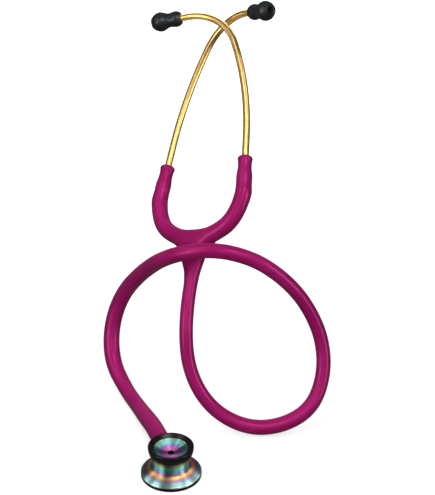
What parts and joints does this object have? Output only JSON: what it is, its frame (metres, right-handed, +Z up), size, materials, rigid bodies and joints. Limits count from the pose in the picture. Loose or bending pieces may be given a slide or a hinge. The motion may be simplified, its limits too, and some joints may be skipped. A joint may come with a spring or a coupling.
{
  "type": "stethoscope",
  "caption": "Double-headed stethoscope: turned metal chestpiece on a rotating valve stem, soft hose standing in a loop, sprung headset with crossed ear tubes and soft eartips.",
  "frame": {"origin": "centre of the diaphragm's flat face, on the surface that the stethoscope stands on", "axes": "+Z up out of the bell; the hose leaves the chestpiece towards -X +Y; the headset rises at +Y and leans back"},
  "size_m": [0.1432, 0.2271, 0.2327],
  "materials": {
    "turned_metal": "turned steel with a rainbow heat tint: teal, blue, purple and gold with the angle of view",
    "stem_metal": "turned steel with the same rainbow tint",
    "black_rubber": "satin black rubber",
    "diaphragm_film": "stiff satin resin sheet",
    "spring_steel": "bright spring steel",
    "soft_hose": "raspberry soft vinyl with a satin sheen",
    "gold_aluminium": "gold anodised, satin",
    "eartip_rubber": "dark slate soft silicone, satin"
  },
  "bodies": {
    "hose": {"tail_tube": "soft_hose", "yoke": "soft_hose", "right_bend": "soft_hose", "left_bend": "soft_hose", "leaf_spring": "spring_steel", "valve_stem": "stem_metal"},
    "head": {"chestpiece_body": "turned_metal", "bell_rim": "black_rubber", "diaphragm": "diaphragm_film", "diaphragm_rim": "black_rubber", "stem_clip": "spring_steel", "detent_ball": "spring_steel", "detent_spring": "spring_steel", "detent_screw": "spring_steel"},
    "right_arm": {"right_sleeve": "soft_hose", "right_ear_tube": "gold_aluminium", "right_spring_collar": "spring_steel", "right_spring_rivets": "spring_steel", "right_eartip": "eartip_rubber"},
    "left_arm": {"left_sleeve": "soft_hose", "left_ear_tube": "gold_aluminium", "left_spring_collar": "spring_steel", "left_spring_rivets": "spring_steel", "left_eartip": "eartip_rubber"}
  },
  "joints": [
    {"name": "head_turn", "type": "hinge", "parent": "hose", "child": "head", "pos_m": [0, 0, 0.0102], "axis": [-0.309, 0.9511, 0], "continuous": true},
    {"name": "right_arm_spread", "type": "hinge", "parent": "hose", "child": "right_arm", "pos_m": [0.04097, 0.10151, 0.13474], "axis": [0.7123, 0.4398, -0.547], "range_deg": [0, 45], "stiffness_Nm_per_rad": 0.6, "deforming": ["right_bend", "leaf_spring"]},
    {"name": "left_arm_spread", "type": "hinge", "parent": "hose", "child": "left_arm", "pos_m": [-0.00741, 0.13406, 0.11368], "axis": [-0.7123, -0.4398, 0.547], "range_deg": [0, 45], "stiffness_Nm_per_rad": 0.6, "deforming": ["left_bend"]}
  ],
  "couplings": [
    {"joint": "left_arm_spread", "follows": "right_arm_spread", "ratio": 1}
  ]
}
